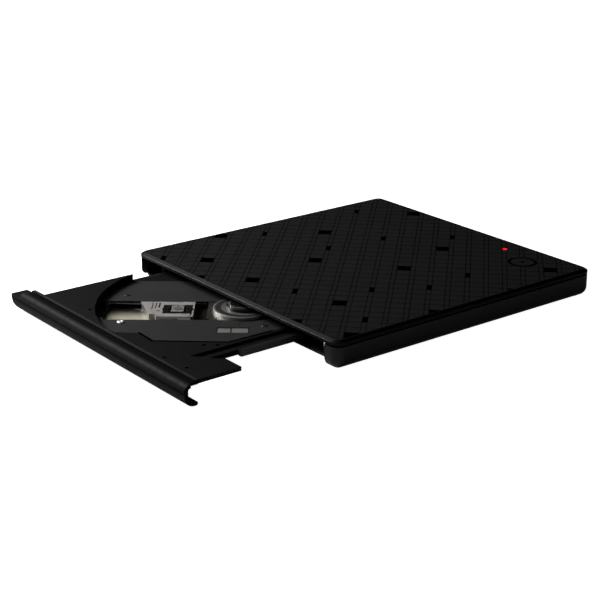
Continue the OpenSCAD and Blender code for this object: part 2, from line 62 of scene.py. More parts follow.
COVER_LO, COVER_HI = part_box("top_cover")
CASE = (COVER_LO + COVER_HI) / 2
PANEL_RECESS = 0.15 * MM
PANEL_Z = COVER_HI.z - PANEL_RECESS
BUTTON_LO, BUTTON_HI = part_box("eject_button")
BUTTON = (BUTTON_LO + BUTTON_HI) / 2
PAD_LO, PAD_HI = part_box("turntable_pad")
HUB = (PAD_LO + PAD_HI) / 2
SLED_JOINT = next(j for j in frame["joints"] if j["name"] == "sled_slide")
TRAVEL = Vector(SLED_JOINT["axis"]).normalized()
ACROSS = Vector((-TRAVEL.y, TRAVEL.x, 0))
PICKUP_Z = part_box("pickup_cover")[1].z
LENS_LO, LENS_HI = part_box("objective_lens")
LENS = (LENS_LO + LENS_HI) / 2


def on_travel(along, across, z):
    """A point given in mm along and across the pickup's travel from the disc centre, at height z in m."""
    p = Vector((HUB.x, HUB.y, 0)) + TRAVEL * along * MM + ACROSS * across * MM
    return Vector((p.x, p.y, z))


# ---- Node helpers for the materials ----

class Shader:
    """A small wrapper round a material's node tree, with one method for each kind of node it needs."""

    def __init__(self, name):
        self.material = bpy.data.materials.new(name)
        self.material.use_nodes = True
        self.tree = self.material.node_tree
        self.bsdf = self.tree.nodes["Principled BSDF"]
        self.coords = self.tree.nodes.new("ShaderNodeTexCoord").outputs["Object"]

    def node(self, kind, **settings):
        made = self.tree.nodes.new(kind)
        for key, value in settings.items():
            setattr(made, key, value)
        return made

    def link(self, source, target):
        if hasattr(source, "is_output"):
            self.tree.links.new(source, target)
        else:
            target.default_value = source

    def math(self, operation, a, b=0.0):
        made = self.node("ShaderNodeMath", operation=operation)
        self.link(a, made.inputs[0])
        self.link(b, made.inputs[1])
        return made.outputs[0]

    def noise(self, size_mm, detail=3.0, stretch=(1, 1, 1), roughness=0.55):
        """Noise with features of about size_mm, longer where stretch is under 1."""
        mapping = self.node("ShaderNodeMapping")
        self.link(self.coords, mapping.inputs["Vector"])
        mapping.inputs["Scale"].default_value = [s / (size_mm * MM) for s in stretch]
        made = self.node("ShaderNodeTexNoise")
        self.link(mapping.outputs[0], made.inputs["Vector"])
        made.inputs["Scale"].default_value = 1.0
        made.inputs["Detail"].default_value = detail
        made.inputs["Roughness"].default_value = roughness
        return made.outputs["Fac"]

    def ramp(self, factor, low, high):
        """Maps a 0 to 1 factor to the range low to high."""
        made = self.node("ShaderNodeMapRange")
        self.link(factor, made.inputs["Value"])
        made.inputs["From Min"].default_value = 0.3
        made.inputs["From Max"].default_value = 0.7
        made.inputs["To Min"].default_value = low
        made.inputs["To Max"].default_value = high
        return made.outputs["Result"]

    def mix(self, factor, a, b):
        made = self.node("ShaderNodeMix", data_type="RGBA")
        self.link(factor, made.inputs["Factor"])
        for value, socket in ((a, made.inputs["A"]), (b, made.inputs["B"])):
            self.link((*value, 1.0) if isinstance(value, tuple) else value, socket)
        return made.outputs["Result"]

    def bump(self, height, depth_mm, strength=1.0):
        made = self.node("ShaderNodeBump")
        made.inputs["Distance"].default_value = depth_mm * MM
        made.inputs["Strength"].default_value = strength
        self.link(height, made.inputs["Height"])
        self.tree.links.new(made.outputs[0], self.bsdf.inputs["Normal"])

    def along(self, direction, start, end):
        """0 before start and 1 after end, for places measured in m along a direction."""
        dot = self.node("ShaderNodeVectorMath", operation="DOT_PRODUCT")
        self.link(self.coords, dot.inputs[0])
        dot.inputs[1].default_value = direction
        made = self.node("ShaderNodeMapRange", interpolation_type="SMOOTHSTEP")
        self.link(dot.outputs["Value"], made.inputs["Value"])
        made.inputs["From Min"].default_value = start
        made.inputs["From Max"].default_value = end
        return made.outputs["Result"]


def shade(tint, amount):
    """The same tint, darker below 1 and lighter above."""
    return tuple(c * amount for c in tint)


def plastic(name, tint, rough, grain_mm=0.18, grain_depth=0.004, spread=0.12, specular=0.5):
    """Moulded plastic: fine spark-erosion grain, soft colour drift and slightly uneven gloss."""
    s = Shader(name)
    drift = s.noise(22, 2.0)
    fine = s.noise(grain_mm, 2.0)
    s.link(s.mix(drift, shade(tint, 1 - spread), shade(tint, 1 + spread)), s.bsdf.inputs["Base Color"])
    s.link(s.ramp(s.noise(3.0, 4.0), rough - 0.05, rough + 0.05), s.bsdf.inputs["Roughness"])
    s.bsdf.inputs["Specular IOR Level"].default_value = specular
    s.bump(fine, grain_depth)
    return s.material


def cover(name, panel, rim):
    """The top cover: satin panel, with painted shade on the bevel and rim round it, which take a far darker colour
    than the panel.
    """
    s = Shader(name)
    normal = s.node("ShaderNodeSeparateXYZ")
    s.link(s.tree.nodes["Texture Coordinate"].outputs["Normal"], normal.inputs[0])
    # Faces that don't point straight up take the rim colour: painted shade on the bevel and rim
    painted_shade_facing = s.node("ShaderNodeMapRange", interpolation_type="SMOOTHSTEP")
    s.link(normal.outputs["Z"], painted_shade_facing.inputs["Value"])
    painted_shade_facing.inputs["From Min"].default_value = 0.90
    painted_shade_facing.inputs["From Max"].default_value = 0.98
    flat_top = painted_shade_facing.outputs["Result"]
    drift = s.mix(s.noise(25, 2.0), shade(panel, 0.93), shade(panel, 1.07))
    s.link(s.mix(flat_top, rim, drift), s.bsdf.inputs["Base Color"])
    s.link(s.ramp(s.noise(3.0, 4.0), 0.44, 0.54), s.bsdf.inputs["Roughness"])
    s.bsdf.inputs["Specular IOR Level"].default_value = 0.12
    s.bump(s.noise(0.25, 2.0), 0.002)
    return s.material


def metal(name, tint, rough, grain=(1, 1, 1), grain_mm=0.35, depth=0.002, spread=0.10):
    """Sheet or turned metal: grain along one way, faint stains and handling marks."""
    s = Shader(name)
    s.bsdf.inputs["Metallic"].default_value = 1.0
    lines = s.noise(grain_mm, 4.0, grain, 0.7)
    stains = s.noise(9.0, 3.0)
    relief = s.math("MULTIPLY_ADD", lines, 0.5)
    s.link(s.mix(stains, shade(tint, 1 - spread), shade(tint, 1 + spread)), s.bsdf.inputs["Base Color"])
    s.link(s.ramp(lines, rough * 0.75, rough * 1.3), s.bsdf.inputs["Roughness"])
    s.bump(relief, depth)
    return s.material


def coated_sheet(name, tint, rough):
    """Black-coated steel sheet: fine orange peel with tiny bright specks."""
    s = Shader(name)
    peel = s.noise(0.5, 3.0)
    specks = s.math("GREATER_THAN", s.noise(0.12, 1.0), 0.74)
    base = s.mix(s.noise(14, 2.0), shade(tint, 0.85), shade(tint, 1.2))
    s.link(s.mix(s.math("MULTIPLY", specks, 0.35), base, shade(tint, 3.0)), s.bsdf.inputs["Base Color"])
    s.link(s.ramp(peel, rough - 0.06, rough + 0.08), s.bsdf.inputs["Roughness"])
    s.bsdf.inputs["Metallic"].default_value = 0.35
    s.bump(peel, 0.004)
    return s.material


def rubber(name, tint):
    s = Shader(name)
    s.link(s.mix(s.noise(1.5, 4.0), shade(tint, 0.8), shade(tint, 1.3)), s.bsdf.inputs["Base Color"])
    s.link(s.ramp(s.noise(0.6), 0.62, 0.82), s.bsdf.inputs["Roughness"])
    s.bsdf.inputs["Specular IOR Level"].default_value = 0.3
    s.bump(s.noise(0.2, 3.0), 0.01)
    return s.material


def circuit(name, tint):
    """Solder-masked board: copper tracks under the mask, in straight runs."""
    s = Shader(name)
    mapping = s.node("ShaderNodeMapping")
    s.link(s.coords, mapping.inputs["Vector"])
    mapping.inputs["Scale"].default_value = (420, 420, 420)
    cells = s.node("ShaderNodeTexVoronoi", distance="CHEBYCHEV", feature="F1")
    s.link(mapping.outputs[0], cells.inputs["Vector"])
    cells.inputs["Scale"].default_value = 1.0
    tracks = s.math("LESS_THAN", s.math("FRACT", s.math("MULTIPLY", cells.outputs["Distance"], 4.0)), 0.35)
    s.link(s.mix(tracks, tint, shade(tint, 2.4)), s.bsdf.inputs["Base Color"])
    s.link(s.ramp(s.noise(2.0), 0.25, 0.4), s.bsdf.inputs["Roughness"])
    s.bump(tracks, 0.01)
    return s.material


def glowing(name, tint, strength):
    """Tinted clear plastic lit from behind, brighter at its heart."""
    s = Shader(name)
    s.link(s.mix(s.noise(0.4), shade(tint, 0.8), tint), s.bsdf.inputs["Base Color"])
    s.bsdf.inputs["Roughness"].default_value = 0.12
    s.link((*tint, 1.0), s.bsdf.inputs["Emission Color"])
    s.link(s.ramp(s.noise(0.8), strength * 0.8, strength * 1.2), s.bsdf.inputs["Emission Strength"])
    return s.material


def lens_glass(name, tint):
    s = Shader(name)
    s.link(s.mix(s.noise(1.2), shade(tint, 0.7), tint), s.bsdf.inputs["Base Color"])
    s.bsdf.inputs["Roughness"].default_value = 0.03
    s.bsdf.inputs["Coat Weight"].default_value = 1.0
    s.bsdf.inputs["Coat Tint"].default_value = (0.9, 0.88, 1.0, 1.0)
    s.bsdf.inputs["Specular IOR Level"].default_value = 0.9
    return s.material


def painted_light_metal(name, dark, light, first, second, rough):
    """Sheet metal with painted light and shade: it turns from dark to light along two ways, each a direction with
    a start and an end.
    """
    s = Shader(name)
    lines = s.noise(0.35, 4.0)
    both = s.math("MULTIPLY", s.along(*first), s.along(*second))
    both = s.math("ADD", both, s.math("MULTIPLY", s.math("SUBTRACT", s.noise(3.0), 0.5), 0.2))
    s.link(s.mix(both, dark, light), s.bsdf.inputs["Base Color"])
    s.link(s.ramp(lines, rough * 0.8, rough * 1.2), s.bsdf.inputs["Roughness"])
    s.bsdf.inputs["Metallic"].default_value = 0.6
    s.bump(lines, 0.003)
    return s.material


def coil(name, tint):
    """Enamelled wire wound side by side, each turn darkening towards its sides: painted shade in the grooves
    between turns.
    """
    s = Shader(name)
    wave = s.node("ShaderNodeTexWave", wave_type="BANDS", bands_direction="X")
    s.link(s.coords, wave.inputs["Vector"])
    wave.inputs["Scale"].default_value = 900
    s.link(s.mix(wave.outputs["Fac"], shade(tint, 0.35), tint), s.bsdf.inputs["Base Color"])
    s.link(s.ramp(s.noise(0.5), 0.25, 0.4), s.bsdf.inputs["Roughness"])
    s.bsdf.inputs["Metallic"].default_value = 0.8
    s.bump(wave.outputs["Fac"], 0.05)
    return s.material


MATERIALS = {
    # The cover's second colour is painted shade for its bevel and rim
    "cover_plastic": cover("cover_plastic", (0.0185, 0.0185, 0.0188), (0.0012, 0.0012, 0.0013)),
    "case_plastic": plastic("case_plastic", (0.0034, 0.0034, 0.0036), 0.42, 0.22, 0.003, specular=0.3),
    "bezel_plastic": plastic("bezel_plastic", (0.0026, 0.0026, 0.0028), 0.62, 0.22, 0.003, specular=0.09),
    "tray_plastic": plastic("tray_plastic", (0.0036, 0.0034, 0.0035), 0.6, 0.14, 0.012, specular=0.13),
    "rail_plastic": plastic("rail_plastic", (0.012, 0.012, 0.012), 0.45),
    "clamp_plastic": plastic("clamp_plastic", (0.008, 0.008, 0.009), 0.3),
    "chip_black": plastic("chip_black", (0.01, 0.01, 0.01), 0.55, 0.1, 0.01),
    "switch_cream": plastic("switch_cream", (0.6, 0.56, 0.46), 0.45),
    "flex_amber": plastic("flex_amber", (0.35, 0.15, 0.02), 0.3),
    "flex_silver": metal("flex_silver", (0.42, 0.42, 0.43), 0.38),
    "deck_coat": coated_sheet("deck_coat", (0.038, 0.038, 0.039), 0.5),
    "foot_rubber": rubber("foot_rubber", (0.012, 0.012, 0.012)),
    "pad_rubber": rubber("pad_rubber", (0.014, 0.014, 0.014)),
    "screw_steel": metal("screw_steel", (0.6, 0.59, 0.57), 0.28),
    "plated_steel": metal("plated_steel", (0.5, 0.5, 0.51), 0.3, (1, 0.08, 1)),
    "polished_steel": metal("polished_steel", (0.72, 0.72, 0.72), 0.16),
    "traverse_steel": metal("traverse_steel", (0.30, 0.29, 0.27), 0.36, (0.1, 1, 1)),
    "pickup_alloy": metal("pickup_alloy", (0.33, 0.32, 0.31), 0.5, (1, 1, 1), 0.3, 0.01),
    "pickup_shield": metal("pickup_shield", (0.72, 0.68, 0.66), 0.55, (1, 0.2, 1)),
    "bright_chrome": metal("bright_chrome", (0.85, 0.85, 0.84), 0.09),
    "magnet_grey": metal("magnet_grey", (0.2, 0.2, 0.2), 0.3),
    "coil_copper": coil("coil_copper", (0.5, 0.17, 0.05)),
    "lens_glass": lens_glass("lens_glass", (0.30, 0.29, 0.29)),
    "board_green": circuit("board_green", (0.008, 0.05, 0.02)),
    "led_red": glowing("led_red", (0.9, 0.02, 0.01), 3.0),
    "light_pipe_red": glowing("light_pipe_red", (1.0, 0.012, 0.012), 1.1),
}
TILE_BLACK = plastic("tile_black", (0.0002, 0.0002, 0.0002), 0.8, specular=0.0)
LINE_BLACK = plastic("line_black", (0.0012, 0.0012, 0.0013), 0.7, specular=0.04)
MARK_BLACK = plastic("mark_black", (0.002, 0.002, 0.002), 0.5, specular=0.2)
# Paler plastic for the bead along the cover's front edge: a painted highlight
EDGE_PAINTED_HIGHLIGHT = plastic("edge_painted_highlight", (0.05, 0.05, 0.052), 0.35, spread=0.4)
# Paler plastic for the strip along the bezel's top: a painted highlight
RIDGE_PAINTED_HIGHLIGHT = plastic("ridge_painted_highlight", (0.022, 0.022, 0.023), 0.45, spread=0.3)
HOLDER_GREY = plastic("holder_grey", (0.30, 0.28, 0.26), 0.5)
MOTOR_PLATE = metal("motor_plate", (0.62, 0.6, 0.56), 0.5)
# Pale metal for one screw head: a painted highlight
SCREW_PAINTED_HIGHLIGHT = metal("bright_screw", (0.95, 0.95, 0.93), 0.6)
HUB_BRIGHT = metal("hub_bright", (0.5, 0.5, 0.48), 0.45)
ACROSS_AT = HUB.dot(ACROSS)
ALONG_AT = HUB.dot(TRAVEL)
# The window floor is bright only in one corner and near black elsewhere: painted light and shade
FLOOR_SHEET_PAINTED_LIGHT = painted_light_metal("floor_sheet_painted_light", (0.012, 0.010, 0.007), (0.75, 0.70, 0.55),
                           (ACROSS, ACROSS_AT - 7 * MM, ACROSS_AT + 3 * MM),
                           (TRAVEL, ALONG_AT + 34 * MM, ALONG_AT + 42 * MM), 0.5)
# Near-black copy of the plated steel for the pan, lid and guides deep in the case: painted shade
STEEL_PAINTED_SHADE = metal("steel_painted_shade", (0.012, 0.012, 0.0125), 0.6, (1, 0.08, 1))
# Nodes whose look differs from the rest of their slot
NODE_MATERIALS = {
    "lens_holder": HOLDER_GREY,
    "sled_motor": MOTOR_PLATE,
    "turntable": HUB_BRIGHT,
    "drive_pan": STEEL_PAINTED_SHADE,
    "drive_lid": STEEL_PAINTED_SHADE,
    "left_guide": STEEL_PAINTED_SHADE,
    "right_guide": STEEL_PAINTED_SHADE,
}

for part in frame["record"]["subparts"]:
    node = frame["nodes"][part["node"]]
    node.data.materials.clear()
    node.data.materials.append(NODE_MATERIALS.get(part["node"], MATERIALS[part["material_slot"]]))


# ---- Mesh helpers ----

def piece(name, body, material, fill):
    """Makes a piece: fill draws it into a bmesh, in row coordinates."""
    bm = bmesh.new()
    fill(bm)
    bmesh.ops.recalc_face_normals(bm, faces=bm.faces)
    mesh = bpy.data.meshes.new(name)
    bm.to_mesh(mesh)
    bm.free()
    made = bpy.data.objects.new(name, mesh)
    bpy.context.scene.collection.objects.link(made)
    mesh.materials.append(material)
    if body:
        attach(made, body)
    return made


def prism(bm, outline, z0, z1):
    """A closed upright prism over a list of (x, y) corners."""
    low = [bm.verts.new((x, y, z0)) for x, y in outline]
    high = [bm.verts.new((x, y, z1)) for x, y in outline]
    count = len(outline)
    for i in range(count):
        k = (i + 1) % count
        bm.faces.new((low[i], low[k], high[k], high[i]))
    bm.faces.new(low[::-1])
    bm.faces.new(high)


def lathe(bm, centre, profile, steps=96):
    """Turns a closed profile about an upright axis, its radii in mm and its heights in m."""
    rings = []
    for i in range(steps):
        a = 2 * math.pi * i / steps
        rings.append([bm.verts.new((centre.x + r * MM * math.cos(a), centre.y + r * MM * math.sin(a), z))
                      for r, z in profile])
    for i in range(steps):
        one, two = rings[i], rings[(i + 1) % steps]
        for k in range(len(profile)):
            n = (k + 1) % len(profile)
            bm.faces.new((one[k], two[k], two[n], one[n]))


def washer(bm, centre, r0, r1, z0, z1, steps=96):
    """A flat ring from radius r0 to r1 in mm, between two heights in m."""
    lathe(bm, centre, [(r0, z0), (r1, z0), (r1, z1), (r0, z1)], steps)


# ---- The cover's plaid, in mm from the middle of the cover ----

# Pairs of lines run across x + y, and single crossings run across x - y
PAIR_PITCH = 7.85
PAIR_GAP = 2.0
PAIR_START = -0.25
CROSS_PITCH = 5.87
CROSS_START = 0.45
PAIR_COUNT = 13
CROSS_COUNT = 17
LINE_W = 0.30
CROSS_W = 0.42
TILE_INSET_P = 0.15
TILE_INSET_Q = 0.2
LINE_RISE = 0.012 * MM
TILE_RISE = 0.02 * MM
# Cells of the plaid that are solid black, as (pair, crossing)
LARGE_TILES = [(2, -13), (4, -4), (-3, -7), (2, 1), (-3, 0), (-9, -5), (-1, 9), (-9, 1), (-6, 5), (10, 0),
               (8, 5), (4, 10), (-9, 5), (-3, 13), (0, 15)]
SMALL_TILES = [(5, -7), (-1, -13), (1, -6), (6, 2), (4, 5), (-2, -3), (-6, -6), (1, 6), (-3, 7), (1, 12),
               (-11, 1)]
PANEL_INSET = 1.75
PANEL_HALF = Vector(((COVER_HI.x - COVER_LO.x) / MM / 2 - PANEL_INSET,
                     (COVER_HI.y - COVER_LO.y) / MM / 2 - PANEL_INSET))
PANEL_R = 2.3
CORNER_STEPS = 8
ROOT2 = math.sqrt(2)


def panel_outline():
    """The panel's rounded outline."""
    x, y = PANEL_HALF
    made = []
    for cx, cy, start in ((x - PANEL_R, y - PANEL_R, 0), (-x + PANEL_R, y - PANEL_R, 90),
                          (-x + PANEL_R, -y + PANEL_R, 180), (x - PANEL_R, -y + PANEL_R, 270)):
        for step in range(CORNER_STEPS + 1):
            a = math.radians(start + step * 90 / CORNER_STEPS)
            made.append((cx + PANEL_R * math.cos(a), cy + PANEL_R * math.sin(a)))
    return made


def clip(polygon, keep):
    """Cuts a convex outline to where keep(point) is not negative; keep is linear."""
    made = []
    for i, point in enumerate(polygon):
        before = polygon[i - 1]
        a, b = keep(before), keep(point)
        if (a < 0) != (b < 0):
            t = a / (a - b)
            made.append((before[0] + (point[0] - before[0]) * t, before[1] + (point[1] - before[1]) * t))
        if b >= 0:
            made.append(point)
    return made


def plaid_field(p0, p1, q0, q1):
    """The part of the panel with p0 < (x + y) / root 2 < p1 and q0 < (x - y) / root 2 < q1."""
    shape = panel_outline()
    shape = clip(shape, lambda v: (v[0] + v[1]) / ROOT2 - p0)
    shape = clip(shape, lambda v: p1 - (v[0] + v[1]) / ROOT2)
    shape = clip(shape, lambda v: (v[0] - v[1]) / ROOT2 - q0)
    return clip(shape, lambda v: q1 - (v[0] - v[1]) / ROOT2)


def add_field(bm, shape, rise):
    """Lays a field of the plaid on the panel, when any of it is left."""
    if len(shape) > 2:
        outline = [(CASE.x + x * MM, CASE.y + y * MM) for x, y in shape]
        prism(bm, outline, PANEL_Z - 0.01 * MM, PANEL_Z + rise)


BUTTON_CLEAR = 6.9
BUTTON_P = ((BUTTON.x - CASE.x) + (BUTTON.y - CASE.y)) / MM / ROOT2
BUTTON_Q = ((BUTTON.x - CASE.x) - (BUTTON.y - CASE.y)) / MM / ROOT2
FAR = 120


def spans(offset, centre):
    """The stretches of a line at offset that keep clear of the button, whose place is centre."""
    reach = BUTTON_CLEAR ** 2 - (offset - centre[0]) ** 2
    if reach <= 0:
        return [(-FAR, FAR)]
    half = math.sqrt(reach)
    return [(-FAR, centre[1] - half), (centre[1] + half, FAR)]


def draw_lines(bm):
    for k in range(-PAIR_COUNT, PAIR_COUNT + 1):
        for side in (-0.5, 0.5):
            p = PAIR_START + PAIR_PITCH * k + side * PAIR_GAP
            for a, b in spans(p, (BUTTON_P, BUTTON_Q)):
                add_field(bm, plaid_field(p - LINE_W / 2, p + LINE_W / 2, a, b), LINE_RISE)


def draw_crossings(bm):
    for j in range(-CROSS_COUNT, CROSS_COUNT + 1):
        q = CROSS_START + CROSS_PITCH * j
        for a, b in spans(q, (BUTTON_Q, BUTTON_P)):
            add_field(bm, plaid_field(a, b, q - CROSS_W / 2, q + CROSS_W / 2), LINE_RISE * 0.8)


def draw_tiles(bm):
    """Black tiles: large ones between two pairs of lines, and small ones within a pair."""
    for k, j in LARGE_TILES:
        p0 = PAIR_START + PAIR_PITCH * k + PAIR_GAP / 2
        p1 = p0 + PAIR_PITCH - PAIR_GAP
        q0 = CROSS_START + CROSS_PITCH * j
        q1 = q0 + CROSS_PITCH
        add_field(bm, plaid_field(p0 + TILE_INSET_P, p1 - TILE_INSET_P, q0 + TILE_INSET_Q, q1 - TILE_INSET_Q),
                  TILE_RISE)
    for k, j in SMALL_TILES:
        p0 = PAIR_START + PAIR_PITCH * k - PAIR_GAP / 2
        q0 = CROSS_START + CROSS_PITCH * j
        add_field(bm, plaid_field(p0, p0 + PAIR_GAP, q0, q0 + CROSS_PITCH), TILE_RISE)


piece("cover_pair_lines", "case", LINE_BLACK, draw_lines)
piece("cover_cross_lines", "case", LINE_BLACK, draw_crossings)
piece("cover_tiles", "case", TILE_BLACK, draw_tiles)


# ---- Edge of the cover, and the button ----

FRONT_Y = COVER_LO.y
BEVEL_H = 0.9 * MM
BEVEL_FOOT_Z = COVER_HI.z - BEVEL_H
BEAD_R = 0.20
BEAD_END_R = 0.05
BEAD_SETBACK = 0.10
BEAD_SIDES = 10
BEAD_CORNER = 3.4 * MM
BEAD_TAPER = 3 * MM


def draw_front_edge(bm):
    """The lower edge of the front bevel, a slim rounded bead that fades out at its ends, in a paler and glossier
    plastic than the cover: its pale colour is a painted highlight.
    """
    half = (COVER_HI.x - COVER_LO.x) / 2 - BEAD_CORNER
    rings = []
    for x in (-half, -half + BEAD_TAPER, half - BEAD_TAPER, half):
        swell = BEAD_END_R if abs(x) == half else BEAD_R
        ring = []
        for i in range(BEAD_SIDES):
            a = 2 * math.pi * i / BEAD_SIDES
            y = FRONT_Y + (BEAD_SETBACK + swell * math.cos(a)) * MM
            z = BEVEL_FOOT_Z + swell * 0.9 * math.sin(a) * MM
            ring.append(bm.verts.new((CASE.x + x, y, z)))
        rings.append(ring)
    for one, two in zip(rings, rings[1:]):
        for i in range(BEAD_SIDES):
            k = (i + 1) % BEAD_SIDES
            bm.faces.new((one[i], one[k], two[k], two[i]))
    bm.faces.new(rings[0][::-1])
    bm.faces.new(rings[-1])


def draw_button_ring(bm):
    """The dark ring on the panel round the button."""
    washer(bm, BUTTON, 5.58, 6.5, PANEL_Z - 0.05 * MM, PANEL_Z + 0.015 * MM)


def draw_button_rim(bm):
    """The dark rim on the button itself."""
    washer(bm, BUTTON, 5.0, 5.42, BUTTON_HI.z - 0.05 * MM, BUTTON_HI.z + 0.012 * MM)


def draw_button_mark(bm):
    """An eject sign: a triangle over a bar."""
    top = BUTTON_HI.z
    triangle = [(-1.3, -0.1), (1.3, -0.1), (0, 1.3)]
    bar = [(-1.3, -1.0), (1.3, -1.0), (1.3, -0.5), (-1.3, -0.5)]
    for outline in (triangle, bar):
        corners = [(BUTTON.x + x * MM, BUTTON.y + y * MM) for x, y in outline]
        prism(bm, corners, top - 0.02 * MM, top + 0.012 * MM)


piece("cover_front_edge_highlight", "case", EDGE_PAINTED_HIGHLIGHT, draw_front_edge)
piece("button_ring", "case", TILE_BLACK, draw_button_ring)
piece("button_mark", "button", TILE_BLACK, draw_button_mark)
piece("button_rim", "button", TILE_BLACK, draw_button_rim)


# ---- Mechanism, in mm along and across the pickup's travel ----

def flat(bm, outline, z0, z1):
    """A prism whose outline is in mm along and across the pickup's travel, and z in mm."""
    prism(bm, [tuple(on_travel(u, v, 0).xy) for u, v in outline], z0 * MM, z1 * MM)


def box_outline(u0, u1, v0, v1):
    return [(u0, v0), (u1, v0), (u1, v1), (u0, v1)]


LENS_U = (LENS - HUB).dot(TRAVEL) / MM
PICKUP_TOP = PICKUP_Z / MM
FLOOR_Z = 3.0
DECK_Z = 6.19


def draw_actuator(bm):
    """The two yoke blocks on either side of the lens, each with a raised boss."""
    for side in (-1, 1):
        near, far = sorted((LENS_U + side * 3.3, LENS_U + side * 6.0))
        flat(bm, box_outline(near, far, -4.1, 4.1), PICKUP_TOP - 0.6, PICKUP_TOP + 0.1)
        boss = on_travel(LENS_U + side * 4.9, 0, 0)
        washer(bm, boss, 0.5, 1.5, PICKUP_TOP * MM, (PICKUP_TOP + 0.25) * MM, 32)
    for across in (-4.9, 3.9):
        rail = box_outline(LENS_U - 6, LENS_U + 6, across, across + 1.0)
        flat(bm, rail, PICKUP_TOP - 0.1, PICKUP_TOP + 0.1)


def draw_holder_dots(bm):
    """Small glue dots round the top of the lens holder."""
    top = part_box("lens_holder")[1].z / MM
    corners = [(u, v) for v in (-3.0, 3.0) for u in (-1.9, 1.9)]
    for u, v in corners + [(-2.0, 0.0), (2.0, 0.0), (0.0, -3.1), (0.0, 3.1)]:
        washer(bm, on_travel(LENS_U + u, v, 0), 0.05, 0.32, (top - 0.05) * MM, (top + 0.03) * MM, 16)


def draw_pickup_marks(bm):
    """Holes, clips and the folded connector on the pickup's sheet cover."""
    for u0, u1, v0, v1 in ((21.4, 22.0, 5.0, 7.4), (35.0, 35.6, -7.6, -2.0), (36.6, 37.0, -7.8, -1.0),
                           (38.0, 38.4, -7.8, 0.0), (34.6, 36.2, 1.5, 2.2)):
        flat(bm, box_outline(u0, u1, v0, v1), PICKUP_TOP - 0.05, PICKUP_TOP + 0.03)


def draw_window_floor(bm):
    """The sheet seen through the window that the pickup runs in, with painted light and shade on it."""
    flat(bm, box_outline(12.6, 57, -17, 8.5), FLOOR_Z, FLOOR_Z + 0.04)


def strip(bm, points, half, z0, z1):
    """A flat band of that half width along a line of points."""
    for a, b in zip(points, points[1:]):
        one, two = Vector(a), Vector(b)
        side = (two - one).normalized() * half
        out = Vector((-side.y, side.x))
        corners = (one - side + out, one - side - out, two + side - out, two + side + out)
        flat(bm, [tuple(corner) for corner in corners], z0, z1)


def draw_deck_seam(bm):
    """A black strip along the front deck plate's outer edge: painted shadow of the step there."""
    half = 0.55
    strip(bm, [(40.3, 27.1), (34.5, 35.5)], half, DECK_Z, DECK_Z + 0.035)
    strip(bm, [(34.5, 35.5), (4.5, 36.4), (-3.7, 30.3), (-12, 24.0)], half, DECK_Z, DECK_Z + 0.03)


def draw_bright_screw(bm):
    """The domed head of the screw at the corner of the window, in a paler metal than the other screws: a painted
    highlight where it catches the light.
    """
    profile = ((0.35, 6.45), (1.45, 6.45), (1.45, 6.52), (1.2, 6.7), (0.5, 6.74), (0.35, 6.6))
    lathe(bm, on_travel(49.2, 15.4, 0), [(r, z * MM) for r, z in profile], 32)


BEZEL_LO, BEZEL_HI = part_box("bezel")


def bezel_bar(bm, x0, x1, depth0, depth1, z0, z1):
    """A bar along the bezel from x0 to x1 in m, with depths from its face and heights in mm."""
    y0, y1 = (BEZEL_LO.y + depth * MM for depth in (depth0, depth1))
    prism(bm, [(x0, y0), (x1, y0), (x1, y1), (x0, y1)], z0 * MM, z1 * MM)


def draw_bezel_shadow_lines(bm):
    """Dark strips laid on the bezel as painted shadow: one behind its rounded top and one across its face."""
    x0, x1 = BEZEL_LO.x + 7.6 * MM, BEZEL_HI.x - 2.2 * MM
    bezel_bar(bm, x0, x1, 3.1, 5.75, 8.46, 8.53)
    bezel_bar(bm, BEZEL_LO.x + 0.5 * MM, BEZEL_HI.x - 0.05 * MM, -0.02, 0.3, 5.3, 6.5)


def draw_bezel_ridge(bm):
    """A pale strip along the back of the bezel's top: a painted highlight on its rounded edge."""
    x0, x1 = BEZEL_LO.x + 7.5 * MM, BEZEL_HI.x - 2.2 * MM
    bezel_bar(bm, x0, x1, 6.0, 7.4, 9.27, 9.34)


def draw_motor_band(bm):
    """Two dark bands round the sled motor's can, where the window in the plate shows it."""
    for u0, u1 in ((4.0, 4.5), (-2.9, -2.5)):
        flat(bm, box_outline(u0, u1, 20.9, 26.1), 5.8, 5.99)


def draw_hub_rings(bm):
    """The turned ring at the turntable's edge, and a smaller one on the clamp."""
    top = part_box("disc_clamp")[1].z / MM
    edge = ((11.75, 7.15), (12.8, 7.15), (12.8, 7.3), (12.6, 7.4), (11.9, 7.4), (11.75, 7.3))
    clamp = ((5.7, top - 0.1), (6.25, top - 0.1), (6.25, top + 0.02), (6.1, top + 0.06), (5.85, top + 0.06),
             (5.7, top + 0.02))
    for profile in (edge, clamp):
        lathe(bm, HUB, [(r, z * MM) for r, z in profile])


def draw_flex(bm):
    """The pickup's flat cable, lying on the floor sheet and tapering to where it's held."""
    stations = [(57.3, -13.0), (55.0, -12.4), (52.0, -11.4), (49.0, -10.0), (46.5, -8.6), (44.5, -7.0),
                (43.0, -5.5), (38.0, -5.5)]
    parts = 4
    rows = []
    for u, high in stations:
        low = -15.4 if u > 43.5 else -8.6
        rows.append([[bm.verts.new(on_travel(u, low + (high - low) * k / parts, z * MM))
                      for k in range(parts + 1)] for z in (FLOOR_Z + 0.06, FLOOR_Z + 0.2)])
    for one, two in zip(rows, rows[1:]):
        for k in range(parts):
            bm.faces.new((one[1][k], one[1][k + 1], two[1][k + 1], two[1][k]))
            bm.faces.new((one[0][k], two[0][k], two[0][k + 1], one[0][k + 1]))
        for k in (0, parts):
            bm.faces.new((one[0][k], one[1][k], two[1][k], two[0][k]))
    for row in (rows[0], rows[-1]):
        for k in range(parts):
            bm.faces.new((row[0][k], row[0][k + 1], row[1][k + 1], row[1][k]))


